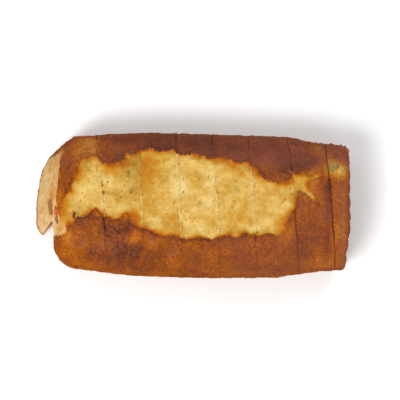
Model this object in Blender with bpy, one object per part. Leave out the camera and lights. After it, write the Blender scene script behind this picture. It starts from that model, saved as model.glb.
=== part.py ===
"""A fruit cake loaf, cut into slices that still stand together as one loaf.

Metres, +Z up. +X runs along the loaf, +Y to its back. The origin is under the middle of its box.
The left end is a slanting cut with its front corner broken off, the right end is the baked heel.
"""

import math

import bmesh
import bpy
import numpy as np
from mathutils import Matrix, Vector, noise

MM = 0.001

# Driving dimensions of the whole loaf, in millimetres.
LOAF_LENGTH = 190.5
LOAF_HEIGHT = 50.0
WIDEST_Z = 24.0          # height where the side walls are furthest apart
TOP_ROUNDNESS = 2.9      # superellipse power of the domed upper half
BASE_ROUNDNESS = 7.0     # and of the almost square lower half
BASE_SINK = 0.6          # how much of the rounded underside is pressed flat
BASE_TAPER = 0.055       # the tin is narrower at its base
END_DROP = 3.5           # how much lower the dome is at its two ends
SLICE_GAP = 0.4          # width of the knife cut between slices

# The plan outline, seen from above: (x, y) of the front and back walls at their widest.
FRONT_WALL = ((-84, -25), (-81.5, -28), (-78.4, -34), (-73.7, -37.3), (-69.5, -37.9), (-55, -40.0),
              (-32, -42.5), (10, -43.8), (50, -43.5), (63, -41.8), (78, -39.6), (96, -38.8))
BACK_WALL = ((-96, 33), (-84.4, 36.5), (-81, 39), (-77, 40.4), (-71, 41.4), (-50, 43.0),
             (-30, 43.8), (10, 43.0), (60, 41.0), (68, 39.2), (78, 37.2), (96, 36.4))

# Each knife cut: its x at the loaf's middle line, and how far it turns from square, in degrees.
KNIFE_CUTS = ((-52.2, 6.0), (-29.1, 3.8), (-6.3, 3.8), (15.3, 3.8), (36.9, 3.8), (61.3, 4.8), (83.2, 4.3))

# The slanting left face: (y, x) of its bottom edge and of its top edge.
LEFT_FOOT = ((-45, -88.0), (-17, -90.5), (-14.8, -92.6), (-12.5, -94.3), (-9, -95.1), (-3, -95.25), (6, -95.1),
             (12.3, -94.3), (18.5, -93.2), (24.7, -91.4), (30.2, -88.7), (36.1, -84.4), (45, -78))
LEFT_BROW = ((-45, -73), (-13, -75.6), (-7.4, -77.1), (0.3, -79), (13.9, -77.9), (27.5, -75.9),
             (30.3, -73.8), (36, -68), (45, -60))
FOOT_HEIGHT = 2.5        # the slope starts above the base crust

# The burst along the top: (x, y) of its back lip and of its front lip.
BURST_LEFT, BURST_RIGHT = -76.0, 76.0
BACK_LIP = ((-76, 3), (-70.6, 7), (-68, 16), (-65, 26.6), (-54, 26), (-49, 22.5), (-38, 25.5), (-31, 29.6),
            (10, 22), (50, 11.5), (58, 14), (62, 17), (70, 14.5), (76, 4))
FRONT_LIP = ((-76, -7), (-72, -13.3), (-67, -9.6), (-57, -4), (-51, -9), (-43, -10), (-37, -7.5), (-31, -14.6),
             (10, -20), (52, -19), (55, -10), (61, -7), (64, 5.5), (70, 3), (76, -1))
BURST_DEPTH = 1.1
LIP_RAISE = 0.8
LIP_WIDTH = 3.5
LUMP_HEIGHT = 0.45
LUMP_SIZE = 11.0
SHOULDER_REACH = 12.0    # the relief fades in over this height above the widest level

# The heel's baked edge, and the flutes that the lining leaves on its end wall.
HEEL_EDGE = 5.0
HEEL_TAPER = 2.5
HEEL_SLANT, HEEL_SLANT_START, HEEL_SLANT_REACH = 2.6, 10.0, 26.0
FLUTE_DEPTH = 0.45
FLUTE_PITCH = 8.5

# The broken front corner of the left face: where its notch starts at the base, and the way its back edge
# runs from there, along the tongue of cake that is left. The torn side of the tongue hangs over its foot.
NOTCH_X, NOTCH_Y = -82.4, -5.0
TONGUE_X, TONGUE_Y = -102.4, -30.0
NOTCH_LEAN = 0.6
TEAR_OVERHANG = 0.12     # how far forward the torn side comes for each millimetre of height
BREAK_LEFT, BREAK_FRONT = -110.0, -60.0      # how far out the lump that broke off is drawn
BREAK_LOW, BREAK_HIGH = -5.0, 60.0

# Cells along the x, y and z of one slice, and how each is carried to its place.
CELLS = (7, 26, 9)
SETTLING_PASSES = 4      # the walls of a slice depend on y and z, which depend on x
ON_SKIN = 0.999          # a place this near to the unit box's side lies on the loaf's skin
SQUARE_ON = 0.9          # the least normal of a face that looks straight along an axis

# Fruit that shows: the slice it sits in, its middle, its three half sizes, and in degrees its turn about Z
# and its lean about Y, which lays it along the slanting left face.
FACE_LEAN = 19.0
FRUIT = (
    (0, (-83.0, -2.3, 36.0), (1.6, 4.6, 3.9), 4, FACE_LEAN),
    (0, (-78.5, -5.0, 45.2), (1.8, 3.0, 3.2), -6, FACE_LEAN),
    (0, (-78.6, -10.0, 42.3), (1.5, 2.3, 3.0), 6, FACE_LEAN),
    (0, (-68.6, -8.2, 47.0), (0.9, 2.9, 1.4), -4, 0),
    (6, (61.5, 34.0, 41.0), (2.5, 2.6, 2.2), 15, 0),
    (6, (76.2, 32.0, 39.2), (2.4, 2.4, 2.0), 35, 0),
    (6, (79.4, -37.6, 22.0), (2.8, 1.8, 1.6), 5, 0),
    (7, (83.9, 18.6, 45.2), (1.6, 2.8, 2.0), -18, 0),
)
FRUIT_SEGMENTS, FRUIT_RINGS = 8, 5

CRUST_COLOUR = (0.36, 0.115, 0.028, 1.0)
CRUST_ROUGHNESS = 0.55
SHARP_ANGLE = 40.0


def clear_scene():
    for old in list(bpy.data.objects):
        bpy.data.objects.remove(old)


def collection_named(name):
    made = bpy.data.collections.new(name)
    bpy.context.scene.collection.children.link(made)
    return made


def along(points, where):
    """Reads a line of (place, value) points at one place."""
    places, values = zip(*points)
    return float(np.interp(where, places, values))


def ease(value):
    """A smooth step from 0 to 1."""
    held = min(max(value, 0.0), 1.0)
    return held * held * (3.0 - 2.0 * held)


def heel_inset(x):
    """How far the baked edge has rounded inwards at x."""
    left = LOAF_LENGTH / 2 - x
    if left >= HEEL_EDGE:
        return 0.0
    return HEEL_EDGE - math.sqrt(max(HEEL_EDGE**2 - (HEEL_EDGE - left) ** 2, 0.0))


def top_height(x):
    """Height of the dome's ridge at x."""
    reach = abs(x) / (LOAF_LENGTH / 2)
    return LOAF_HEIGHT - END_DROP * reach**4 - heel_inset(x)


def section(x, side, up):
    """The y and z of a point of the cross-section at x, from its place in a square of -1 to 1."""
    reach = max(abs(side), abs(up), 1e-9)
    edge_side, edge_up = side / reach, up / reach
    power = TOP_ROUNDNESS if edge_up > 0 else BASE_ROUNDNESS
    scale = (abs(edge_side) ** power + abs(edge_up) ** power) ** (-1.0 / power)
    front, back = along(FRONT_WALL, x) + heel_inset(x), along(BACK_WALL, x) - heel_inset(x)
    middle, half = (front + back) / 2, (back - front) / 2
    rise = edge_up * scale * reach
    y = middle + half * edge_side * scale * reach * (1.0 - BASE_TAPER * max(-rise, 0.0))
    if rise > 0:
        return y, WIDEST_Z + (top_height(x) - WIDEST_Z) * rise
    return y, max(0.0, WIDEST_Z + (WIDEST_Z + BASE_SINK) * rise)


def burst_relief(x, y):
    """The sunken skin of the burst, and the raised lips of crust beside it."""
    if not BURST_LEFT < x < BURST_RIGHT:
        return 0.0
    inside = min(y - along(FRONT_LIP, x), along(BACK_LIP, x) - y, x - BURST_LEFT, BURST_RIGHT - x)
    sunk = ease(inside / LIP_WIDTH)
    lip = math.exp(-((inside / LIP_WIDTH) ** 2)) if inside < 0 else 0.0
    return LIP_RAISE * lip - BURST_DEPTH * sunk


def lumps(x, y, z):
    """The gentle unevenness of a baked surface."""
    return LUMP_HEIGHT * noise.noise(Vector((x, y, z)) / LUMP_SIZE)


def cut_x(index, y):
    """Where knife cut number index passes at y."""
    x, turn = KNIFE_CUTS[index]
    return x - y * math.tan(math.radians(turn))


def left_face_x(y, z):
    """The slanting left face, between its bottom edge and its top edge."""
    foot, brow = along(LEFT_FOOT, y), along(LEFT_BROW, y)
    climb = max(z - FOOT_HEIGHT, 0.0) / (LOAF_HEIGHT - FOOT_HEIGHT)
    return foot + (brow - foot) * min(climb, 1.0)


def heel_face_x(y, z):
    """The heel's end wall, fluted by its lining and drawn in at its base."""
    flute = FLUTE_DEPTH * (math.cos(2 * math.pi * y / FLUTE_PITCH) - 1.0)
    slant = HEEL_SLANT * ease((-y - HEEL_SLANT_START) / HEEL_SLANT_REACH)
    return LOAF_LENGTH / 2 + flute - slant - HEEL_TAPER * (1.0 - ease(z / WIDEST_Z))


def slice_point(index, place):
    """Carries a point of the unit box to its place on slice number index."""
    side, up = 2.0 * place.y, 2.0 * place.z
    middle_x = LOAF_LENGTH / 2 if index == len(KNIFE_CUTS) else KNIFE_CUTS[index][0]
    start_x = -LOAF_LENGTH / 2 if index == 0 else KNIFE_CUTS[index - 1][0]
    share = place.x + 0.5
    x = start_x + (middle_x - start_x) * share
    for _ in range(SETTLING_PASSES):
        y, z = section(min(x, LOAF_LENGTH / 2), side, up)
        low = left_face_x(y, z) if index == 0 else cut_x(index - 1, y) + SLICE_GAP / 2
        high = heel_face_x(y, z) if index == len(KNIFE_CUTS) else cut_x(index, y) - SLICE_GAP / 2
        x = low + (high - low) * share
    on_skin = max(abs(side), abs(up)) > ON_SKIN
    if on_skin and z > 0.0:
        grown = lumps(x, y, z) * ease(z / WIDEST_Z)
        if up > 0:
            z += (grown + burst_relief(x, y)) * ease((z - WIDEST_Z) / SHOULDER_REACH)
        y += grown * side
    return Vector((x, y, z))


def cut_box(bm, cells):
    """Divides the unit box into cells along each axis."""
    for axis, count in enumerate(cells):
        normal = Vector([float(axis == other) for other in range(3)])
        for step in range(1, count):
            bmesh.ops.bisect_plane(
                bm,
                geom=bm.verts[:] + bm.edges[:] + bm.faces[:],
                plane_co=normal * (step / count - 0.5),
                plane_no=normal,
            )


def merge_flat_faces(bm, picks):
    """Makes one face of all the cells that a knife or the table has left flat."""
    faces = [face for face in bm.faces if picks(face)]
    if faces:
        bmesh.ops.dissolve_faces(bm, faces=faces, use_verts=False)


def build_slice(index, material, collection):
    """One slice, from a box that is divided into cells and carried onto the loaf."""
    bm = bmesh.new()
    bmesh.ops.create_cube(bm, size=1.0)
    cut_box(bm, CELLS)
    if index > 0:
        merge_flat_faces(bm, lambda face: face.normal.x < -SQUARE_ON)
    if index < len(KNIFE_CUTS):
        merge_flat_faces(bm, lambda face: face.normal.x > SQUARE_ON)
    for vert in bm.verts:
        vert.co = slice_point(index, vert.co)
    merge_flat_faces(bm, lambda face: all(vert.co.z == 0.0 for vert in face.verts))
    bmesh.ops.triangulate(bm, faces=bm.faces[:])
    bmesh.ops.scale(bm, vec=Vector((MM, MM, MM)), verts=bm.verts[:])
    bmesh.ops.recalc_face_normals(bm, faces=bm.faces[:])
    return object_from(bm, f"slice_{index + 1}", material, collection)


def object_from(bm, name, material, collection):
    mesh = bpy.data.meshes.new(name)
    bm.to_mesh(mesh)
    bm.free()
    mesh.materials.append(material)
    made = bpy.data.objects.new(name, mesh)
    collection.objects.link(made)
    return made


def broken_corner(collection, material):
    """The lump of cake that has broken off the left face, from a box with its corners moved."""
    bm = bmesh.new()
    bmesh.ops.create_cube(bm, size=1.0)
    plan = {
        (1, 1): (NOTCH_X, NOTCH_Y),
        (-1, 1): (TONGUE_X, TONGUE_Y),
        (1, -1): (NOTCH_X + NOTCH_LEAN, BREAK_FRONT),
        (-1, -1): (BREAK_LEFT, BREAK_FRONT),
    }
    for vert in bm.verts:
        x, y = plan[(1 if vert.co.x > 0 else -1, 1 if vert.co.y > 0 else -1)]
        z = BREAK_LOW if vert.co.z < 0 else BREAK_HIGH
        if vert.co.y > 0:
            y -= TEAR_OVERHANG * z
        vert.co = Vector((x, y, z)) * MM
    bmesh.ops.recalc_face_normals(bm, faces=bm.faces[:])
    cutter = object_from(bm, "broken_corner", material, collection)
    cutter.hide_render = True
    cutter.display_type = "WIRE"
    return cutter


def fruit_bit(number, middle, sizes, turn, lean, material, collection):
    """A raisin or a piece of candied peel, from a squashed sphere."""
    bm = bmesh.new()
    bmesh.ops.create_uvsphere(bm, u_segments=FRUIT_SEGMENTS, v_segments=FRUIT_RINGS, radius=1.0)
    bmesh.ops.scale(bm, vec=Vector(sizes) * MM, verts=bm.verts[:])
    made = object_from(bm, f"fruit_{number}", material, collection)
    made.rotation_euler = (0.0, math.radians(lean), math.radians(turn))
    made.location = Vector(middle) * MM
    return made


def apply_modifiers(target):
    """Replaces the mesh of an object by the one its modifiers make."""
    graph = bpy.context.evaluated_depsgraph_get()
    mesh = bpy.data.meshes.new_from_object(target.evaluated_get(graph))
    target.modifiers.clear()
    target.data = mesh


def fuse_fruit(target, index, material):
    """Joins to a slice the fruit that shows in it."""
    bits = collection_named("fruit_in_slice")
    for number, (owner, middle, sizes, turn, lean) in enumerate(FRUIT):
        if owner == index:
            fruit_bit(number, middle, sizes, turn, lean, material, bits)
    if bits.objects:
        union = target.modifiers.new("fruit", "BOOLEAN")
        union.operation = "UNION"
        union.operand_type = "COLLECTION"
        union.collection = bits
        union.solver = "EXACT"
        apply_modifiers(target)
    for bit in list(bits.objects):
        bpy.data.objects.remove(bit)
    bpy.data.collections.remove(bits)


def centre_on_origin(slices):
    """Moves all the slices together, so that the loaf's box stands centred on the origin."""
    points = [vert.co for made in slices for vert in made.data.vertices]
    lows = [min(point[axis] for point in points) for axis in range(3)]
    highs = [max(point[axis] for point in points) for axis in range(3)]
    shift = Vector((-(lows[0] + highs[0]) / 2, -(lows[1] + highs[1]) / 2, -lows[2]))
    for made in slices:
        made.data.transform(Matrix.Translation(shift))


def crust_material():
    material = bpy.data.materials.new("baked_crust")
    material.use_nodes = True
    shader = material.node_tree.nodes["Principled BSDF"]
    shader.inputs["Base Color"].default_value = CRUST_COLOUR
    shader.inputs["Roughness"].default_value = CRUST_ROUGHNESS
    shader.inputs["Metallic"].default_value = 0.0
    return material


def main():
    clear_scene()
    loaf = collection_named("fruit_cake_loaf")
    cutters = collection_named("cutters")
    crust = crust_material()
    slices = [build_slice(index, crust, loaf) for index in range(len(KNIFE_CUTS) + 1)]
    notch = slices[0].modifiers.new("broken corner", "BOOLEAN")
    notch.operation = "DIFFERENCE"
    notch.object = broken_corner(cutters, crust)
    notch.solver = "EXACT"
    apply_modifiers(slices[0])
    for index, made in enumerate(slices):
        fuse_fruit(made, index, crust)
    centre_on_origin(slices)
    for made in slices:
        made.data.shade_smooth()
        made.data.set_sharp_from_angle(angle=math.radians(SHARP_ANGLE))


main()
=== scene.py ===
# %% [markdown]
# # A sliced fruit cake loaf
# This lesson dresses the plain solids of a small fruit cake loaf: the browned crust, the pale skin that
# burst through it along the top, the crumb of the cut end, and the fruit that shows. The solids come from
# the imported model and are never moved. Every piece made here stands on one of them.

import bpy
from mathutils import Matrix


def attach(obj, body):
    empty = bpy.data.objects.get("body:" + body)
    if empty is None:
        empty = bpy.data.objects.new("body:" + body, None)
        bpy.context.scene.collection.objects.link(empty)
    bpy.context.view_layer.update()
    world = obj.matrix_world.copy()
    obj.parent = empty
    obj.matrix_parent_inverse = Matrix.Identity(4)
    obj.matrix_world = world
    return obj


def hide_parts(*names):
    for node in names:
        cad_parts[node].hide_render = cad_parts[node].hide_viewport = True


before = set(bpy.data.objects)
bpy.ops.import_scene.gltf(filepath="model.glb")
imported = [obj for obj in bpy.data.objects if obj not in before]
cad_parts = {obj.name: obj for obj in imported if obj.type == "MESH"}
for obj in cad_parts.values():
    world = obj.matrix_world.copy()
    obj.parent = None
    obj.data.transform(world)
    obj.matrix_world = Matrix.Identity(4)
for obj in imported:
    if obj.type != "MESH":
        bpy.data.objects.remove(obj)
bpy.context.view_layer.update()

# %% [markdown]
# ## Tools of the kitchen
# Sizes are in millimetres while we think about cake, and become metres when they reach Blender.

# %% Modules and units
import itertools
import math

import bmesh
import bpy
import numpy as np
from mathutils import Matrix, Vector
from mathutils.bvhtree import BVHTree

MM = 0.001
GRAIN = 0.52  # edge of one cell of the fine meshes
rng = np.random.default_rng(368)
slice_names = sorted(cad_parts)


def add_object(name, data):
    """Makes an object of some data and puts it into the scene."""
    made = bpy.data.objects.new(name, data)
    bpy.context.scene.collection.objects.link(made)
    return made


def mesh_from(bm, name):
    """Turns what bmesh built into a mesh."""
    mesh = bpy.data.meshes.new(name)
    bm.to_mesh(mesh)
    bm.free()
    return mesh


print(len(slice_names), "slices, fine cells of", GRAIN, "mm")

# %% [markdown]
# ## The camera
# The loaf was photographed from almost straight above, a little from its front, with a long lens. We place
# the camera by its aim, its distance and how steeply it looks down, because these are the three things that
# decide how much of the front wall and the slanting left face is seen.

# %% Place the camera
PHOTO_SIDE = 400  # the photograph is square, in pixels
AIM = Vector((5.65, 3.45, 25.0)) * MM
DISTANCE = 1.1
STEEPNESS = math.radians(84)
PIXEL = 0.603 * MM  # what one pixel spans at the aim
SENSOR = 36.0

view_line = Vector((0.0, -math.cos(STEEPNESS), math.sin(STEEPNESS)))
camera_data = bpy.data.cameras.new("camera")
camera_data.sensor_width = SENSOR
camera_data.lens = SENSOR * DISTANCE / (PIXEL * PHOTO_SIDE)
camera = add_object("camera", camera_data)
camera.location = AIM + view_line * DISTANCE
camera.rotation_euler = view_line.to_track_quat("Z", "Y").to_euler()
bpy.context.scene.camera = camera
print("lens", round(camera_data.lens, 1), "mm")

# %% [markdown]
# ## From a place in the photograph to a place on the cake
# Lips, pores and fruit are named by the pixel where the photograph shows them. A ray from the camera
# through that pixel meets the solids at the right spot, whatever the height of the crust there.

# %% Find where a pixel meets the cake
MISSED_HEIGHT = 0.036  # where a pixel beside the loaf lies, in metres


def solids_tree():
    """All the solids as one searchable surface."""
    bm = bmesh.new()
    for name in slice_names:
        bm.from_mesh(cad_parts[name].data)
    tree = BVHTree.FromBMesh(bm)
    bm.free()
    return tree


loaf_surface = solids_tree()
camera_turn = camera.rotation_euler.to_matrix()


def ray_through(px, py):
    """The line of sight from the camera through a pixel."""
    half = PHOTO_SIDE / 2
    across = (px - half) * PIXEL / DISTANCE
    upward = (half - py) * PIXEL / DISTANCE
    return camera_turn @ Vector((across, upward, -1.0))


def seen_at(px, py):
    """The point of the solids under a pixel, in millimetres."""
    ray = ray_through(px, py)
    hit = loaf_surface.ray_cast(camera.location, ray.normalized())[0]
    if hit is None:
        hit = camera.location + ray * ((MISSED_HEIGHT - camera.location.z) / ray.z)
    return hit / MM


def plan_of(pixels):
    """Pixels as rows of x and y on the loaf."""
    return np.array([seen_at(px, py)[:2] for px, py in pixels])


print("middle of the loaf:", [round(value, 1) for value in seen_at(200, 200)])

# %% [markdown]
# ## Floor and light
# The cake stands on a plain pale floor under soft light: a bright even surround, one broad lamp above its
# front left corner, which rakes over the crust, and a weaker one behind that fills the shade.

# %% Make the floor, the surround and the lamps
FLOOR_SHADE, FLOOR_ROUGHNESS = 0.9, 0.6
FLOOR_HALF = 1.5  # metres
SURROUND = 0.50
LAMP_WIDTH = 0.50
KEY_PLACE, KEY_WATTS = (-0.42, -0.50, 0.95), 11.5
FILL_PLACE, FILL_WATTS = (0.35, 0.60, 0.95), 4.5


def make_floor():
    material = bpy.data.materials.new("pale_floor")
    material.use_nodes = True
    sockets = material.node_tree.nodes["Principled BSDF"].inputs
    sockets["Base Color"].default_value = (FLOOR_SHADE, FLOOR_SHADE, FLOOR_SHADE, 1.0)
    sockets["Roughness"].default_value = FLOOR_ROUGHNESS
    bm = bmesh.new()
    bmesh.ops.create_grid(bm, x_segments=1, y_segments=1, size=FLOOR_HALF)
    mesh = mesh_from(bm, "floor")
    mesh.materials.append(material)
    floor = add_object("floor", mesh)


def soft_lamp(name, place, watts):
    """A square lamp that faces the cake."""
    data = bpy.data.lights.new(name, "AREA")
    data.size = LAMP_WIDTH
    data.energy = watts
    lamp = add_object(name, data)
    lamp.location = place
    lamp.rotation_euler = (Vector(place) - AIM).to_track_quat("Z", "Y").to_euler()


make_floor()
world = bpy.data.worlds.new("surround")
world.use_nodes = True
background = world.node_tree.nodes["Background"].inputs
background["Color"].default_value = (1.0, 1.0, 1.0, 1.0)
background["Strength"].default_value = SURROUND
bpy.context.scene.world = world
soft_lamp("key_lamp", KEY_PLACE, KEY_WATTS)
soft_lamp("fill_lamp", FILL_PLACE, FILL_WATTS)
bpy.context.scene.view_settings.view_transform = "Standard"

# %% [markdown]
# ## Unevenness
# Nothing on a cake is even. One table of random numbers, read smoothly between its entries, gives noise of
# any size for thousands of points at a time. Adding finer and finer readings gives the ragged kind. A
# smooth ramp and a soft bell shape nearly everything else below.

# %% Read smooth noise from a table of chance
X, Y, Z = range(3)
TABLE_SIDE = 32
SEED_STEP = 7.31  # how many entries apart two seeds read
FAR_IN = 500.0  # keeps all readings at positive entries
FINER_SHARE = 0.55  # how strong each octave is beside the one before
chance = rng.uniform(-1.0, 1.0, (TABLE_SIDE, TABLE_SIDE, TABLE_SIDE))
tilt = np.array(Matrix.Rotation(0.6, 3, (0.3, 0.8, 0.5)))  # hides the table's own grid


def ruffle(points, size, seed=0.0, octaves=1):
    """Smooth noise in about -1 to 1, with features of that size in millimetres."""
    total = np.zeros(len(points))
    weight = 1.0
    for octave in range(octaves):
        spots = points @ tilt * (2.0**octave / size) + (seed + octave) * SEED_STEP + FAR_IN
        cell = np.floor(spots).astype(int)
        part = spots - cell
        part = part * part * (3.0 - 2.0 * part)
        for corner in itertools.product((0, 1), repeat=3):
            at = (cell + corner) % TABLE_SIDE
            share = np.prod(np.where(corner, part, 1.0 - part), axis=1)
            total += weight * share * chance[at[:, 0], at[:, 1], at[:, 2]]
        weight *= FINER_SHARE
    return total


def mottled(points, layers):
    """Layers of noise added up, each with its strength, size, seed and octaves."""
    return sum(strength * ruffle(points, size, seed, octaves) for strength, size, seed, octaves in layers)


def ramp(value, start, end):
    """A smooth step from 0 at the start to 1 at the end."""
    held = np.clip((value - start) / (end - start), 0.0, 1.0)
    return held * held * (3.0 - 2.0 * held)


def graded(points, grades):
    """Smooth steps added up, each along an axis from one place to another, up to its share."""
    return sum(share * ramp(points[:, axis], start, end) for axis, start, end, share in grades)


def near(distance, width):
    """1 at no distance, fading to 0 within about two widths."""
    return np.exp(-((distance / width) ** 2))


sample = ruffle(rng.uniform(-90, 90, (2000, 3)), 3.0)
print("noise runs from", sample.min().round(2), "to", sample.max().round(2))

# %% [markdown]
# ## Where the top burst
# As a loaf bakes its crust sets first, and the batter still rising below tears it open. The tear is drawn
# as one outline round the pale skin: along its back lip, round its right end, back along its front lip and
# up the left. The middle of the outline, which the photograph doesn't show, carries on as raggedly.

# %% Draw the outline of the burst
BACK_LIP = (
    (63, 197), (67, 192.5), (70.5, 191), (72, 186), (74, 179), (76, 171), (77.5, 164), (80, 157.5),
    (85, 156.3), (90, 156.6), (98, 156.8), (100.6, 159.5), (103, 163), (107, 164.3), (111, 163.6),
    (115, 163.2), (120, 161), (125.5, 159), (123, 156), (128, 154.4), (134, 154), (139, 151.5), (150, 149),
    (160, 152), (171, 150), (182, 155), (196, 154), (210, 159), (224, 157), (236, 163), (247, 162),
    (255, 169), (262, 177), (270, 181), (279, 183.2), (286, 182), (291, 178.5), (292.5, 175), (289, 172.2),
    (283, 170.2), (292, 171.8), (295, 173.6), (298, 175.2), (302, 172.6), (306, 174.6),
)
RIGHT_END = (
    (308, 178), (311, 176.6), (315, 174.6), (319, 174), (323, 174.4), (319, 177.5), (311, 180),
    (307.5, 183.5), (309, 188.5), (312.5, 194), (318, 203.5), (313, 200.6), (308, 196.5), (303, 192.6),
    (299, 191.6), (297, 197),
)
FRONT_LIP = (
    (296, 205), (293.5, 211), (291, 215.5), (288, 219), (286.5, 227), (283, 233), (279, 235.5), (268, 233),
    (258, 237), (246, 233), (236, 238), (224, 235), (212, 239), (198, 236), (186, 240), (174, 235),
    (162, 236), (152, 231), (143, 230), (137, 226.5), (133, 224), (131, 221.5), (129.5, 217.3),
    (127, 214.3), (124, 214.5), (121, 217), (117, 219), (113, 220), (109, 217.6), (105, 217.2),
    (102.5, 216.3), (99.5, 212), (97, 208.6), (95, 207.6), (91, 210.5), (88.5, 214), (87, 216.4),
    (82, 216.0), (77.5, 216.2), (75, 218.5), (73.5, 224), (71.5, 227), (70, 223.6), (68, 223.8), (66, 225),
)
LEFT_END = ((66.5, 229), (65, 233.5), (60, 235), (52, 234), (52, 224), (58.5, 214), (60, 206))

burst_outline = plan_of(BACK_LIP + RIGHT_END + FRONT_LIP + LEFT_END)
print("burst outline of", len(burst_outline), "points, mm",
      burst_outline.min(axis=0).round(1), "to", burst_outline.max(axis=0).round(1))

# %% [markdown]
# A signed distance to that outline is worth more than the outline itself: it says how deep in the skin, or
# how far out on the crust, each point of the mesh lies. From it come sunken skin, raised lips and browning.

# %% Measure how deep in the burst a point lies
TINY = 1e-9  # the rise of a level stretch, so that nothing is divided by 0


def distance_to_line(plan, line):
    """Distance from rows of x and y to the nearest stretch of a line."""
    nearest = np.full(len(plan), np.inf)
    for start, end in itertools.pairwise(line):
        span = end - start
        share = np.clip(((plan - start) @ span) / (span @ span), 0.0, 1.0)
        nearest = np.minimum(nearest, np.linalg.norm(plan - start - share[:, None] * span, axis=1))
    return nearest


def depth_in_burst(plan):
    """Distance to the outline of the burst, positive inside it."""
    inside = np.zeros(len(plan), bool)
    closed = np.vstack((burst_outline, burst_outline[:1]))
    for start, end in itertools.pairwise(closed):
        crosses = (start[1] > plan[:, 1]) != (end[1] > plan[:, 1])
        rise = end[1] - start[1] or TINY
        inside ^= crosses & (plan[:, 0] < start[0] + (end[0] - start[0]) * (plan[:, 1] - start[1]) / rise)
    nearest = distance_to_line(plan, closed)
    return np.where(inside, nearest, -nearest)


print("depth at the middle:", depth_in_burst(plan_of([(200, 195)])).round(1), "mm")

# %% [markdown]
# ## How brown the crust is
# Browning is one number, from 0 for skin that the heat hardly reached to 1 for scorched crust. It starts
# from the distance to the burst, and is then deepened or lightened by broad patches, each placed where the
# photograph shows one: a middle, two radii in millimetres, and by how much it changes the browning. A few
# patches are painted light instead: painted shade along the last cut and painted highlight on the palest
# skin.

# %% Name the broad patches of browning, and a few of painted light
PATCH_FALL = 1.3  # how fast a patch fades towards its radii
CRUST_PATCHES = (
    # the back crust, mostly scorched
    (122, 139, 14, 3, 0.14), (124, 149, 8, 4, -0.12), (112, 151, 3, 3, 0.08), (116, 158, 7, 2.5, 0.1),
    (160, 143, 26, 9, 0.12), (215, 145, 34, 9, 0.18), (262, 150, 18, 10, 0.16), (286, 158, 9, 9, 0.18),
    (298, 166, 7, 3, 0.18), (290, 158, 9, 3.5, 0.12), (309, 166, 5, 3, 0.16), (305, 160, 10, 8, 0.1),
    (296, 150, 4, 3, -0.12), (318, 151, 6, 4, -0.12), (285, 152, 6, 4, 0.1), (318, 159, 6, 3, 0.14),
    # the back crust at the left, amber in places
    (89, 153, 6, 2, -0.25), (84, 145, 10, 8, -0.36), (95, 146, 4, 6, -0.16), (71, 150, 3, 4, 0.1),
    (61, 151, 2.5, 4, -0.75), (78, 160, 3, 5, -0.3), (77, 170, 2.5, 5, -0.36), (72, 161, 2.5, 4, 0.08),
    # the strip beside the left face, which fades to orange
    (64, 180, 3, 5, 0.07), (60, 201, 4, 8, -0.29), (71, 190, 2, 3, -0.28),
    # the tongue of crust at the right
    (279, 174, 4, 2.5, 0.08), (281, 181, 3, 1.5, -0.22),
    # the front crust left of the middle
    (68, 235, 6, 6, -0.28), (76, 250, 6, 7, -0.1), (76, 264, 14, 4, -0.14), (80, 221, 6, 3, 0.14),
    (78, 228, 3, 5, 0.06), (88, 231, 8, 3, -0.07), (78, 246, 3, 5, 0.12), (94, 218, 5, 2, 0.1),
    (90, 254, 6, 4, 0.08), (97, 240, 7, 5, -0.08), (106, 251, 5, 8, -0.12), (106, 230, 5, 5, 0.2),
    (110, 233, 3, 3, 0.07), (121, 229, 9, 4, 0.12), (126, 233, 3, 4, 0.09), (122, 256, 13, 8, 0.3),
    (130, 250, 3, 8, -0.07), (134, 238, 5, 4, -0.34),
    # amber stretches of the front lip
    (99, 214, 1.6, 2, -0.22), (127, 215, 4, 2.5, -0.42),
    # the amber glow round the right end of the burst
    (286, 233, 7, 8, -0.3), (291, 218, 3, 4, -0.1), (299, 210, 4, 5, -0.12), (310, 179, 7, 6, -0.28),
    (307, 189, 4, 4, -0.2), (320, 173, 6, 2.2, -0.16), (314, 195, 5, 7, -0.22), (281, 239, 3, 3, -0.16),
    (309, 197, 3, 3, -0.12),
    # the front crust at the right
    (308, 225, 14, 20, -0.05), (299, 237, 6, 6, 0.18), (304, 256, 12, 8, 0.1), (316, 206, 3, 4, 0.08),
    (316, 236, 4, 12, 0.06), (322, 264, 9, 6, -0.28), (322, 198, 3, 4, -0.1),
    # painted shade: the dark strip along the last cut
    (328, 206, 2.6, 15, 0.24), (328, 187, 2.6, 6, 0.22), (328, 240, 2.6, 12, 0.22), (322, 176, 3, 4, 0.12),
    (324, 168, 2, 5, 0.14),
    # the heel and its golden band
    (336, 157, 3, 3, 0.12), (336, 171, 11, 5.2, -0.46), (339, 165, 6, 4, -0.14), (331, 161, 5, 4, -0.2),
    (335, 198, 4, 6, -0.1), (338, 215, 7, 30, -0.06), (344.5, 215, 2, 34, -0.12), (337, 250, 5, 12, -0.08),
    (334, 230, 3, 6, -0.09),
)
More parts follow.
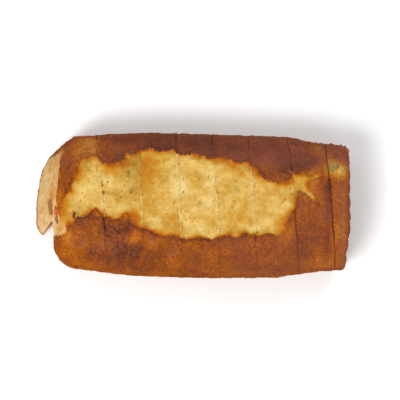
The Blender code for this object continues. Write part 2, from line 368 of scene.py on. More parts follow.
SKIN_PATCHES = (
    # the left edge of the skin
    (77, 172, 3, 8, 0.2), (72, 192, 2, 3, 0.08), (64, 203, 3, 7, 0.2), (72, 202, 3, 4, 0.06),
    (64, 216, 4, 5, 0.08), (67, 224, 4, 3, 0.06),
    # under the back lip
    (85, 159, 4, 3, 0.22), (104, 173, 13, 4, 0.1), (105, 165.5, 6, 1.6, 0.1), (120, 164, 6, 1.8, 0.1),
    (122, 160, 4, 3, 0.12), (131, 163, 8, 5, 0.16), (121, 181, 4, 4, 0.07),
    # the palest skin, partly painted highlight
    (84, 190, 8, 12, -0.05), (92, 175, 4, 4, -0.12), (79, 199, 4, 5, -0.06), (113, 183, 6, 4, -0.08),
    (120, 208, 7, 4, -0.04), (88, 188, 8, 6, -0.1), (286, 200, 8, 12, -0.03),
    # over the front lip, and towards the hidden middle
    (113, 221, 5, 2, 0.18), (120, 199, 3, 3, 0.08), (122, 214, 6, 3, 0.14), (131, 213, 3, 3, 0.12),
    (135, 219, 3, 4, 0.26), (146, 184, 10, 20, 0.14),
    # the right end of the burst
    (284, 222, 5, 4, 0.18), (281, 231, 4, 4, 0.14), (291, 213, 3, 4, 0.14), (288, 182, 4, 2.4, 0.3),
    (298, 174, 6, 2, 0.26), (294, 182, 4, 3, 0.08), (309, 183, 2, 3, 0.16), (316, 201, 2, 3, 0.12),
    (280, 220, 5, 8, 0.05), (310, 188, 3, 3, 0.1), (316, 198, 3, 3, 0.1),
)


def spot(points, px, py, along, across):
    """1 at the middle of a patch, fading to 0 outside it."""
    away = (points[:, :2] - plan_of([(px, py)])) / (along, across)
    return np.exp(-PATCH_FALL * (away**2).sum(axis=1))


def patched(points, patches):
    """What all the patches add at each point."""
    return sum(change * spot(points, *place) for *place, change in patches)


print(len(CRUST_PATCHES), "patches on the crust and", len(SKIN_PATCHES), "on the skin")

# %% [markdown]
# The edge between crust and skin is ragged at several scales, and the skin just inside it is toasted amber.
# On the crust, broad and fine unevenness is laid over the patches.

# %% Work out the browning
CRUST_BROWN = 0.67
SKIN_BROWN = 0.12
WALL_BROWN = 0.64
PATCH_ON_WALL = 0.3  # how much of a patch reaches down the steep walls
LIP_BROWN, LIP_PLACE, LIP_WIDTH = 0.16, -0.7, 0.8  # scorched line outside the burst
RIM_BROWN = 0.16  # toasted lines inside it
NARROW_RIM, WIDE_RIM = 1.2, 3.6
# where the crust turns dull: partly its own tone, partly a painted haze
DULLNESS_AND_HAZE = ((X, -20.0, 40.0, 0.22), (Y, 16.0, 26.0, 0.26), (X, 85.0, 91.0, 0.30))
GOLDEN_BAND = ((336, 172, 11, 6, 0.9),)  # the heel's band that stays warm
RAGGED_EDGE = ((0.55, 2.6, 1, 1), (0.45, 1.3, 2, 1))
CRUST_MOTTLE = ((0.10, 7.0, 3, 3), (0.06, 1.6, 4, 2))
SKIN_MOTTLE = ((0.09, 9.0, 5, 2), (0.05, 2.4, 6, 2))
RIM_BREAKS = (6.0, 7, 2)
DULL_AND_HAZE_MOTTLE = ((0.10, 8.0, 9, 2),)


def crust_browning(points, ragged, top):
    """The browning of the crust, as if it covered the whole loaf."""
    crust = WALL_BROWN + (CRUST_BROWN - WALL_BROWN) * top
    crust += patched(points, CRUST_PATCHES) * (PATCH_ON_WALL + (1.0 - PATCH_ON_WALL) * top)
    return crust + LIP_BROWN * near(ragged - LIP_PLACE, LIP_WIDTH) + mottled(points, CRUST_MOTTLE)


def crust_dullness_and_haze(points):
    """How far the crust turns from warm orange brown to dull red brown, partly its own tone and partly a
    painted haze.
    """
    dull = graded(points, DULLNESS_AND_HAZE) + mottled(points, DULL_AND_HAZE_MOTTLE)
    return np.clip(dull * (1.0 - patched(points, GOLDEN_BAND)), 0.0, 1.0)


def skin_browning(points, ragged):
    """The browning of the pale skin, toasted amber along its rim."""
    broken = np.clip(0.6 + ruffle(points, *RIM_BREAKS), 0.0, 1.3)
    rim = RIM_BROWN * (near(ragged, NARROW_RIM) + near(ragged, WIDE_RIM) * broken)
    return SKIN_BROWN + patched(points, SKIN_PATCHES) + rim + mottled(points, SKIN_MOTTLE)


print("crust", CRUST_BROWN, "skin", SKIN_BROWN)

# %% [markdown]
# ## Fine copies of the slices
# A solid slice has faces a few millimetres wide. Its copy is merged, creased along its sharp edges,
# subdivided until it is smooth, and then cut into even cells by a voxel remesh, so that there is a vertex
# for every crag.

# %% Make a fine copy of a slice
CREASE_ANGLE = math.radians(38)
MERGE_DISTANCE = 1e-6
SMOOTHING = 2
BAKED_END = -62.0  # left of this x, the corners outside these two y were baked, not cut
BAKED_FRONT, BAKED_BACK = -18.0, 30.0
RIM_HEIGHT = 5.0  # browned rim along the foot of the left face
TORN_SPOT = (61, 227, 4.4, 5.2)  # crumb that shows above the broken corner
TORN_RIM = 0.8  # the torn wall has crust only this far up


def is_soft(edge):
    """Whether an edge of the left slice is a baked corner, which is round."""
    middle = (edge.verts[0].co + edge.verts[1].co) / 2 / MM
    return middle.x < BAKED_END and middle.z > RIM_HEIGHT and not BAKED_FRONT < middle.y < BAKED_BACK


def fine_copy(node):
    """A closed mesh of even cells with the form of a solid slice."""
    bm = bmesh.new()
    bm.from_mesh(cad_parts[node].data)
    bmesh.ops.remove_doubles(bm, verts=bm.verts[:], dist=MERGE_DISTANCE)
    crease = bm.edges.layers.float.new("crease_edge")
    for edge in bm.edges:
        if edge.calc_face_angle(0.0) > CREASE_ANGLE and not is_soft(edge):
            edge[crease] = 1.0
    piece = add_object(node + "_cake", mesh_from(bm, node + "_cake"))
    round_off = piece.modifiers.new("round off", "SUBSURF")
    round_off.levels = round_off.render_levels = SMOOTHING
    cells = piece.modifiers.new("even cells", "REMESH")
    cells.mode = "VOXEL"
    cells.voxel_size = GRAIN * MM
    graph = bpy.context.evaluated_depsgraph_get()
    fine = bpy.data.meshes.new_from_object(piece.evaluated_get(graph))
    piece.modifiers.clear()
    piece.data = fine
    fine.shade_smooth()
    return piece


def rows_of(layer, what):
    """What a mesh says of each of its vertices, as rows of three numbers."""
    rows = np.empty(len(layer) * 3, np.float32)
    layer.foreach_get(what, rows)
    return rows.reshape(-1, 3).astype(float)


cakes = [fine_copy(name) for name in slice_names]
print("cells:", [len(cake.data.polygons) for cake in cakes])

# %% [markdown]
# ## The knife cuts
# The slices stand so close together that a cut hardly shows in the soft skin, and is a thin dark line where
# it breaks the crust. The solids keep a clear gap, so we measure where each flat knife face lies, bring the
# fine cake nearer to it, let the line wander a little, and chip the crust along it. The chipped line is
# darkened with painted shade, and the skin beside a closed seam gets painted light against its shade.

# %% Measure the knife faces
SIDEWAYS = 0.95  # faces whose normals are as near to x as this were cut
CLOSING = 0.17  # how far each side moves towards the cut
CLOSING_REACH = 1.5
EDGE_CLOSING = 0.85  # how much further the edge of the pale skin moves
EDGE_PLACE, EDGE_WIDTH = 0.15, 0.55
EDGE_LIFT = 0.20  # and how far it is lifted
EDGE_REACH = 1.0
SEAM_WIDTH = 0.4
SEAM_PAINTED_LIGHT = 0.12  # painted light: the skin beside a closed cut is painted paler, since the line itself looks dark
WANDER = ((0.40, 7.0, 21, 1), (0.16, 1.8, 22, 1))
WANDER_REACH = 2.5
CUT_SPACING = 40.0  # how far apart two cuts read their noise
CHIP_WIDTH = 0.45
CHIP_DEPTH = 0.22
CHIP_AND_SHADE = (0.32, 0.24, 0.32, 0.28, 0.30, 0.42, 0.95)  # how strongly each cut shows in the crust, as chips and as painted shade along the line
CHIP_AND_SHADE_MOTTLE = ((0.7, 8.0, 23, 2),)
FRONT_FADE = ((Y, -18.0, -26.0, 0.35),)  # they fade towards the front


def knife_face(node, side):
    """The middle and outward normal of the knife face on one side of a slice."""
    faces = [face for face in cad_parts[node].data.polygons if face.normal.x * side > SIDEWAYS]
    area = sum(face.area for face in faces)
    normal = sum((face.normal * face.area for face in faces), Vector()) / area
    middle = sum((face.center * face.area for face in faces), Vector()) / area
    return np.array(middle / MM), np.array(normal.normalized())


def knife_faces_of(index):
    """The knife faces of a slice, each with the number of its cut."""
    sides = [(cut, side) for cut, side in ((index - 1, -1), (index, 1)) if 0 <= cut < len(CHIP_AND_SHADE)]
    return [(cut, *knife_face(slice_names[index], side)) for cut, side in sides]


print("first cut passes x =", knife_faces_of(0)[0][1].round(2)[0])


# %% Close a cut and chip its crust
def straight_up(points, normals, index, top):
    """The normals without their part across a near cut, which relief would open."""
    upright = normals.copy()
    for _, middle, normal in knife_faces_of(index):
        inward = np.maximum((middle - points) @ normal, 0.0)
        across = (upright @ normal) * near(inward, EDGE_REACH) * top
        upright -= np.outer(across, normal)
    return upright


def close_cuts(points, index, over, top, inside):
    """Moves points near the knife cuts, and says how much painted shade darkens each chipped line and how
    much painted light the skin beside a closed seam gets.
    """
    cut_shade, seam_light = np.zeros(len(points)), np.zeros(len(points))
    for cut, middle, normal in knife_faces_of(index):
        inward = np.maximum((middle - points) @ normal, 0.0)
        closeness = np.clip(1.0 - inward / CLOSING_REACH, 0.0, 1.0)
        line = points.copy()
        line[:, 0] = CUT_SPACING * cut
        shown = CHIP_AND_SHADE[cut] * np.clip(0.8 + mottled(line, CHIP_AND_SHADE_MOTTLE), 0.15, 1.4)
        shown *= 1.0 - graded(points, FRONT_FADE)
        faint = np.clip(0.8 - 2.2 * shown, 0.0, 1.0)
        soft = over * (inside + faint * (1.0 - inside))
        edge = EDGE_CLOSING * near(inward - EDGE_PLACE, EDGE_WIDTH) * soft
        points = points + normal * (CLOSING * closeness + edge)[:, None]
        points[:, 0] += mottled(line, WANDER) * near(inward, WANDER_REACH)
        chipped = shown * near(inward, CHIP_WIDTH) * top * (1.0 - inside)
        points[:, 2] += EDGE_LIFT * near(inward, EDGE_WIDTH) * soft - CHIP_DEPTH * chipped
        # the chipped line is darkened with painted shade
        cut_shade += chipped
        # the skin beside a closed seam gets painted light
        seam_light += near(inward, SEAM_WIDTH) * soft
    return points, cut_shade, seam_light


print("cuts close by", 2 * CLOSING, "mm, and relief is upright within", EDGE_REACH, "mm of them")

# %% [markdown]
# ## Pores, creases and stains, with painted shade
# Small marks give the skin its life: open pores where bubbles broke and thin cracks, both darkened with
# painted shade, and dull olive marks, partly stains where fruit lies just under the surface and partly
# painted shade in hollows and beside fruit. Each is named by its pixel, and a few dozen pores more are strewn
# by chance.

# %% Name the small marks
PORES = (
    (103, 192, 0.95), (103, 185, 0.5), (107.5, 181.6, 0.55), (80.7, 200.3, 0.5), (89, 181, 0.4),
    (121, 196.7, 0.55), (122, 191, 0.45), (131, 192.5, 0.55), (103.4, 210.4, 0.6), (85.6, 211.4, 0.45),
    (78.5, 206.5, 0.35), (128.5, 171.5, 0.6), (127, 176, 0.45), (87, 158, 0.5), (286.5, 206, 0.35),
    (296, 219, 0.5), (284.5, 223.5, 0.45), (290, 188, 0.35), (102, 182, 0.35), (135, 200, 0.45),
)
# thin cracks: the pixels along each, its width, and how much painted shade darkens it
CREASES = (
    (((113, 227), (116, 230), (120, 233)), 0.55, 0.55),
    (((281.5, 203), (284, 201), (286.5, 199)), 0.35, 0.30),
    (((104, 192.5), (114, 193.5), (126, 192), (133, 189.5)), 0.8, 0.06),
    (((65, 228), (69, 229.5), (73, 231), (76, 234)), 0.5, 0.40),
    (((279, 170.6), (285, 172), (290, 174)), 0.5, 0.35),
    (((69, 222), (70.5, 226), (72, 229)), 0.6, 0.20),
)
# olive marks: stains where fruit lies under the skin, and painted shade in hollows and beside fruit
STAINS_AND_SHADE = (
    (86, 161, 2.2, 3, 0.4), (88, 168, 2, 2.5, 0.3), (128, 174, 2.4, 3.2, 0.42), (79, 207, 3, 4, 0.28),
    (76, 215, 2.5, 2.5, 0.35), (298, 193, 3.6, 1.8, 0.5), (132, 184, 8, 14, 0.2), (132, 163, 6, 5, 0.34),
    (112, 193.5, 8, 1.8, 0.17), (131, 190.5, 2.4, 1.4, 0.25), (92, 160, 3, 3, 0.16), (119, 200, 5, 3, 0.1),
    (318, 148, 2.8, 2.4, 0.45), (331, 167.5, 3.4, 4, 0.55), (313, 176, 3, 1.2, 0.35), (200, 205, 4, 3, 0.2),
    (236, 190, 3, 3, 0.3), (166, 178, 3, 3, 0.25),
)
CHANCE_PORES = 70
CHANCE_RADII = (0.22, 0.42)
CHANCE_MARGIN = 3.0  # how far inside the burst the pores of chance stay
FULL_RADIUS = 0.6  # a pore as wide as this is at its full depth
STAIN_AND_SHADE_MOTTLE = ((0.6, 1.6, 31, 1),)


def strewn_pores():
    """Pores at seeded places inside the burst."""
    low, high = burst_outline.min(axis=0), burst_outline.max(axis=0)
    places = rng.uniform(low, high, (6 * CHANCE_PORES, 2))
    places = places[depth_in_burst(places) > CHANCE_MARGIN][:CHANCE_PORES]
    return [(place, rng.uniform(*CHANCE_RADII)) for place in places]


pore_list = [(plan_of([pixel])[0], radius) for *pixel, radius in PORES] + strewn_pores()
print(len(pore_list), "pores,", len(CREASES), "creases,", len(STAINS_AND_SHADE), "stains")


# %% Press the small marks in
def pore_field(points):
    """How far each point lies inside a pore, from 0 to about 1."""
    away = ((np.linalg.norm(points[:, :2] - place, axis=1), radius) for place, radius in pore_list)
    return sum(min(radius / FULL_RADIUS, 1.2) * near(distance, radius) for distance, radius in away)


def crease_field(points):
    """How far each point lies inside a crease, and how much painted shade it gets there."""
    return sum(crease_shade * near(distance_to_line(points[:, :2], plan_of(pixels)), width)
               for pixels, width, crease_shade in CREASES)


def stain_and_shade_field(points):
    """How olive each point is, from 0 to 1, as stain and as painted shade."""
    return np.clip(patched(points, STAINS_AND_SHADE) * (1.0 + mottled(points, STAIN_AND_SHADE_MOTTLE)), 0.0, 1.0)


print("marks ready")

# %% [markdown]
# ## Where the fruit lies
# A lump of fruit is an ellipsoid with its middle, its half sizes, and in degrees its turn about Z and its
# lean about Y, which lays it along the slanting face. They are the lumps of the solids. Those of the cut
# face come first, because the crumb round them has to be browned and kept smooth before it gets its pores.

# %% Name the fruit
FACE_LEAN = 19.0
FACE_RAISINS = (
    ((-83.0, -2.2, 36.0), (1.6, 4.6, 3.9), 4, FACE_LEAN),
    ((-78.6, -9.9, 42.3), (1.5, 2.3, 3.0), 6, FACE_LEAN),
)
FACE_PEEL = (((-78.5, -4.9, 45.2), (1.8, 3.0, 3.2), -6, FACE_LEAN),)
BED_MARGIN, BED_FADE = 0.06, 0.12  # browned crumb round a lump, in shares of its size
BED_DEPTH = (2.0, 0.0, 0.0)  # how much further it reaches into the face


def fruit_bed(points):
    """1 on the cut face where fruit lies, 0 beside it."""
    bed = np.zeros(len(points))
    for middle, sizes, turn, lean in FACE_RAISINS + FACE_PEEL:
        back = Matrix.Rotation(math.radians(-lean), 3, "Y") @ Matrix.Rotation(math.radians(-turn), 3, "Z")
        away = (points - np.array(middle)) @ np.array(back).T / (np.array(sizes) + BED_DEPTH)
        edge = 1.0 + BED_MARGIN
        bed = np.maximum(bed, ramp(np.linalg.norm(away, axis=1), edge, edge - BED_FADE))
    return bed


print(len(FACE_RAISINS) + len(FACE_PEEL), "lumps in the cut face")

# %% [markdown]
# ## Skin, crumb and relief
# On each fine slice we tell the baked skin from the cut crumb by which way the surface faces, work out the
# browning, and then push the surface in and out: a sunken burst with raised ragged lips, grain on the
# crust, and pores in the crumb. What a material needs to know is stored on the vertices.

# %% Tell skin from crumb
LEFT_CRUMB_FRONT, LEFT_CRUMB_BACK = -20.0, 32.0  # y where the left face turns to crust
NOTCH_X = -83.2  # the broken corner's inner wall
LEFT_FACE_END = -62.0  # x past which the faces are knife cuts
CRUST_CELLS = 3  # thickness of the crust, in cells
BURST_FLOOR = 32.0  # the burst lies above this height
FACE_STRETCH = 0.45  # blotches of the left face are drawn out along its slope
KNIFE_FACING = (0.70, 0.85)  # how far a normal leans between skin and knife face,
LEFT_FACING = (0.50, 0.64)  # skin and left face,
TORN_FACING = (0.30, 0.50)  # skin and the torn wall of the notch
BORDER_FADE = 2.0  # width of the left face's border
SIDE_SWAY, FOOT_SWAY = 12, 16  # how strongly noise moves it
BORDER_MOTTLE = ((0.12, 2.2, 5, 1),)
TORN_MOTTLE = ((0.6, 4.0, 6, 3),)
FACE_MOTTLE = ((0.16, 3.5, 19, 2),)
TOASTED_SIDES = ((Z, 34.0, 44.0, 0.08), (Y, 14.0, 28.0, 0.14))  # under the brow and at the back
TOASTED_FOOT = ((Z, 8.0, 0.0, 0.45),)
PALE_FOOT = ((48, 223, 5, 7, 0.8),)
TOASTED_SPOTS = ((50.5, 197, 2.6, 7, 0.34), (*TORN_SPOT, 0.16))


def crumb_share(points, normals, index):
    """1 on cut or torn crumb, 0 on baked skin."""
    knife_right = ramp(normals[:, 0], *KNIFE_FACING)
    knife_left = ramp(-normals[:, 0], *KNIFE_FACING)
    if index == len(cakes) - 1:
        return knife_left
    if index > 0:
        return np.maximum(knife_left, knife_right)
    x, y, z = points.T
    ragged = mottled(points, BORDER_MOTTLE)
    left = ramp(ragged - normals[:, 0], *LEFT_FACING)
    left *= ramp(y + SIDE_SWAY * ragged, LEFT_CRUMB_FRONT, LEFT_CRUMB_FRONT + BORDER_FADE)
    left *= ramp(y - SIDE_SWAY * ragged, LEFT_CRUMB_BACK, LEFT_CRUMB_BACK - BORDER_FADE)
    left *= ramp(z + FOOT_SWAY * ragged, 0.5 * RIM_HEIGHT, 1.5 * RIM_HEIGHT)
    torn = ramp(-normals[:, 1], *TORN_FACING) * (x < NOTCH_X) * ramp(z, TORN_RIM, 2 * TORN_RIM)
    torn_edge = 3.0 * spot(points, *TORN_SPOT) + mottled(points, TORN_MOTTLE)
    bare = ramp(torn_edge, 1.0, 2.0) * (z > BURST_FLOOR)
    return np.maximum.reduce((left, torn, bare, knife_right))


def toasted(points):
    """How much darker the crumb is than its palest."""
    foot = graded(points, TOASTED_FOOT) * (1.0 - patched(points, PALE_FOOT))
    toast = graded(points, TOASTED_SIDES) + foot + patched(points, TOASTED_SPOTS)
    return toast + mottled(points * (1.0, 1.0, FACE_STRETCH), FACE_MOTTLE)


def shrink_share(mesh, share, points, index):
    """Draws the crumb back from the edges of the knife faces, which crust covers."""
    ends = np.empty(len(mesh.edges) * 2, np.int32)
    mesh.edges.foreach_get("vertices", ends)
    first, second = ends.reshape(-1, 2).T
    shrunk = share
    for _ in range(CRUST_CELLS):
        least = shrunk.copy()
        np.minimum.at(least, first, shrunk[second])
        np.minimum.at(least, second, shrunk[first])
        shrunk = least
    on_left_face = (index == 0) & (points[:, 0] < LEFT_FACE_END)
    return np.where(on_left_face, share, shrunk)


print("crumb turns to crust at y", LEFT_CRUMB_FRONT, "and", LEFT_CRUMB_BACK)


# %% Raise the lips and sink the skin
LIP_RISE, CREST_PLACE, CREST_WIDTH = 0.95, -1.2, 1.1  # the raised lip of crust
SKIN_SINK = 0.45  # how far the pale skin lies below the crust
SKIN_SMOOTH = 0.5  # how much of the crust's grain it loses
PORE_DEPTH, CREASE_DEPTH, PIT_DEPTH = 0.75, 0.6, 0.8
PIT_START = 0.38
CRAGS = (3.2, 8, 2)  # size, seed and octaves, as in PITS
BILLOWS = ((0.42, 6.5, 17, 1), (0.22, 2.8, 18, 1))
CRUST_GRAIN = ((0.17, 1.3, 11, 2), (0.20, 3.6, 12, 2))
WALL_GRAIN = ((0.25, 2.6, 13, 2),)
PITS = (1.7, 14, 2)
CRUMB_GRAIN = ((0.26, 3.2, 15, 3),)


def skin_relief(points, ragged, top, inside, marks):
    """How far the baked skin stands out from the solid, in millimetres."""
    lip = LIP_RISE * near(ragged - CREST_PLACE, CREST_WIDTH) * np.clip(0.5 + ruffle(points, *CRAGS), 0.0, 1.4)
    sunken = (SKIN_SINK - mottled(points, BILLOWS)) * inside
    grain = mottled(points, CRUST_GRAIN) + (1.0 - top) * mottled(points, WALL_GRAIN)
    return top * (lip - sunken - marks) + grain * (1.0 - SKIN_SMOOTH * inside)


print("lips rise by", LIP_RISE, "mm, skin sinks by", SKIN_SINK, "mm")


# %% Shape a slice
TOP_FACING = (0.15, 0.55)  # how far a normal leans up between walls and top,
OVER_FACING = (-0.1, 0.3)  # and with the rounded edges taken in
SKIN_EDGE = (-0.3, 0.8)  # depths in the burst between which crust turns to skin
WALL_DEPTH = -12.0  # the depth of what lies below the burst
TORN_LIMIT = 4.0
BED_BROWN = 0.58  # browning of the crumb that touches fruit
# painted shade: how much the chipped cut lines, the pores and the creases are darkened
CUT_SHADE_STRENGTH, PORE_SHADE, CREASE_SHADE = 0.36, 0.42, 0.5
SLICE_TONES = (0.02, 0.0, 0.01, -0.02, 0.02, 0.0, 0.0, 0.0)
BACK_TONES = (0.0, 0.08, 0.08, 0.10, 0.07, 0.05, 0.0, 0.0)
BEHIND = (20.0, 24.0)  # y between which the tones of the back begin


def store(mesh, **values):
    """Stores values on the vertices."""
    for name, value in values.items():
        layer = mesh.attributes.new(name, "FLOAT", "POINT")
        layer.data.foreach_set("value", value.astype(np.float32))


def shape_slice(cake, index):
    """Gives a slice its relief, and stores what its material reads."""
    mesh = cake.data
    points = rows_of(mesh.vertices, "co") / MM
    normals = rows_of(mesh.vertex_normals, "vector")
    bed = fruit_bed(points)
    crumb = crumb_share(points, normals, index)
    top = ramp(normals[:, 2], *TOP_FACING)
    depth = np.where(points[:, 2] < BURST_FLOOR, WALL_DEPTH, depth_in_burst(points[:, :2]))
    ragged = depth + mottled(points, RAGGED_EDGE)
    inside = ramp(ragged, *SKIN_EDGE)
    crust = crust_browning(points, ragged, top) + BACK_TONES[index] * ramp(points[:, 1], *BEHIND)
    pale = skin_browning(points, ragged) + SLICE_TONES[index]
    pores = pore_field(points) * inside
    creases = crease_field(points) * top
    stain = stain_and_shade_field(points) * top
    pits = np.clip(ruffle(points, *PITS) - PIT_START, 0.0, 1.0)
    marks = PORE_DEPTH * pores + CREASE_DEPTH * creases
    push = (1.0 - crumb) * skin_relief(points, ragged, top, inside, marks)
    if index == 0:
        push += crumb * (normals[:, 0] < 0) * (mottled(points, CRUMB_GRAIN) - PIT_DEPTH * pits)
    points += straight_up(points, normals, index, top) * (push * (1.0 - bed))[:, None]
    over = ramp(normals[:, 2], *OVER_FACING)
    points, cut_shade, seam_light = close_cuts(points, index, over, top, inside)
    points[:, 2] = np.maximum(points[:, 2], 0.0)
    # painted shade darkens the chipped cut lines, the creases and the pores; painted light brightens the skin
    # beside closed seams
    crust += CUT_SHADE_STRENGTH * cut_shade + CREASE_SHADE * creases
    crust += (BED_BROWN - crust) * bed
    pale += PORE_SHADE * pores + CREASE_SHADE * creases - SEAM_PAINTED_LIGHT * seam_light
    torn = np.clip(np.where(bed > 0.0, -TORN_LIMIT, ragged), -TORN_LIMIT, TORN_LIMIT)
    mesh.vertices.foreach_set("co", (points * MM).ravel().astype(np.float32))
    mesh.update()
    bare = shrink_share(mesh, crumb, points, index) * (1.0 - bed)
    store(mesh, crumb=bare, crust=crust, pale=pale, torn=torn, pit=pits, stain=stain, top=top,
          toast=toasted(points), dull=crust_dullness_and_haze(points))


for index, cake in enumerate(cakes):
    shape_slice(cake, index)
print("shaped", len(cakes), "slices")

# %% [markdown]
# ## Writing a material as sums
# A material is a web of nodes, but a recipe reads better as arithmetic. One small class wraps a socket, so
# that adding or multiplying two values adds the Math node for it, and one method makes every other node.

# %% Wrap sockets and nodes
def tint(red, green, blue):
    """The light of a colour that is given as a screen shows it, from 0 to 255."""
    return (*(((part / 255 + 0.055) / 1.055) ** 2.4 for part in (red, green, blue)), 1.0)


class Value:
    """A socket that can be added, subtracted and multiplied."""

    def __init__(self, paint, socket):
        self.paint = paint
        self.socket = socket

    def __add__(self, other):
        return self.paint.maths("ADD", self, other)

    __radd__ = __add__

    def __mul__(self, other):
        return self.paint.maths("MULTIPLY", self, other)

    __rmul__ = __mul__

    def __sub__(self, other):
        return self.paint.maths("SUBTRACT", self, other)

    def __rsub__(self, other):
        return self.paint.maths("SUBTRACT", other, self)


class Paint:
    """A material that is being made."""

    def __init__(self, name):
        self.material = bpy.data.materials.new(name)
        self.material.use_nodes = True
        self.tree = self.material.node_tree
        self.shader = self.tree.nodes["Principled BSDF"]
        self.place = self.node("ShaderNodeTexCoord", out="Object")

    def feed(self, socket, value):
        if isinstance(value, Value):
            self.tree.links.new(value.socket, socket)
        else:
            socket.default_value = value

    def node(self, kind, settings=None, sockets=None, out=0):
        """Makes a node: its settings first, then the values or links of its sockets."""
        made = self.tree.nodes.new(kind)
        for name, value in (settings or {}).items():
            if name == "stops":
                self.set_stops(made.color_ramp, value)
            else:
                setattr(made, name, value)
        for name, value in (sockets or {}).items():
            self.feed(made.inputs[name], value)
        return Value(self, made.outputs[out])

    @staticmethod
    def set_stops(color_ramp, stops):
        while len(color_ramp.elements) < len(stops):
            color_ramp.elements.new(1.0)
        for element, (where, colour) in zip(color_ramp.elements, stops):
            element.position = where
            element.color = tint(*colour)

    def maths(self, operation, first, second, clamp=False):
        settings = {"operation": operation, "use_clamp": clamp}
        return self.node("ShaderNodeMath", settings, {0: first, 1: second})

    def above(self, value, start, gain):
        """How far a value is above the start, times the gain, held between 0 and 1."""
        return self.maths("MULTIPLY", value - start, gain, clamp=True)

    def mix(self, share, first, second):
        """Mixes two colours."""
        return self.node("ShaderNodeMix", {"data_type": "RGBA"}, {0: share, 6: first, 7: second}, out=2)

    def stored(self, name):
        """A value stored on the vertices."""
        return self.node("ShaderNodeAttribute", {"attribute_name": name}, out="Fac")

    def grain(self, per_mm, detail=3.0, roughness=0.55, place=None):
        """Noise with that many features to a millimetre, from 0 to 1."""
        sockets = {"Scale": per_mm / MM, "Detail": detail, "Roughness": roughness}
        return self.node("ShaderNodeTexNoise", None, sockets | {"Vector": place or self.place})

    def bump(self, height, strength, millimetres, under=None):
        sockets = {"Height": height, "Strength": strength, "Distance": millimetres * MM}
        return self.node("ShaderNodeBump", None, sockets | ({"Normal": under} if under else {}))

    def set_shader(self, **sockets):
        """Feeds the shader's sockets, named with underscores for spaces."""
        for name, value in sockets.items():
            self.feed(self.shader.inputs[name.replace("_", " ")], value)


print("a pale skin of", [round(part, 2) for part in tint(235, 196, 118)[:3]])

# %% [markdown]
# ## The cake's finish
# One material covers a slice. Its colour runs along the browning, from pale yellow skin over gold and amber
# to scorched brown, with the stored number roughened by fine noise so that no edge looks airbrushed. Where
# the vertices say crumb, it turns to the paler, duller inside of the cake. A little light passes under the
# surface.

# %% Mix the cake material
CRUST_STOPS = (
    (0.00, (217, 188, 124)), (0.08, (204, 168, 92)), (0.20, (186, 140, 54)), (0.32, (180, 114, 28)),
    (0.43, (170, 95, 17)), (0.54, (152, 80, 17)), (0.64, (140, 70, 20)), (0.75, (122, 62, 27)),
    (0.87, (100, 52, 31)), (1.00, (70, 37, 27)),
)
CRUMB_STOPS = ((0.15, (214, 184, 138)), (0.50, (201, 161, 104)), (0.85, (180, 121, 54)))
# olive for stains and painted shade, and a hazy dull red for dull crust and painted haze
OLIVE, HAZY_DULL_RED = tint(122, 102, 48), tint(132, 74, 58)
# noises: features to a millimetre, detail, roughness; steps: start and gain
FINE_NOISE, SPECKLE_NOISE, COARSE_NOISE = (0.9, 5.0, 0.75), (1.9, 3.0, 0.7), (0.35, 3.0)
TEAR_NOISE, GLINT_NOISE, GREASE_NOISE, CRUMB_NOISE = (0.6, 2.0), (1.1, 2.0, 0.7), (1.7, 2.0), (0.35, 4.0, 0.6)
TORN_STEP, GLINT_STEP, GREASE_STEP = (-0.30, 1.7), (0.58, 5.0), (0.56, 4.0)
FINE_TEAR, BROAD_TEAR = 4.0, 2.4  # how far noise moves the torn edge
CRUST_FINE, CRUST_SPECKLE, DULL_GAIN = 0.80, 1.10, 0.8  # how much it changes the crust
SKIN_FINE, SKIN_COARSE, SKIN_GLINT = 0.22, 0.17, 0.07  # and the pale skin
# the last is painted shade in the pits of the crumb
CRUMB_UNEVEN, CRUMB_TONE, PIT_SHADE = 0.9, -0.02, 0.4


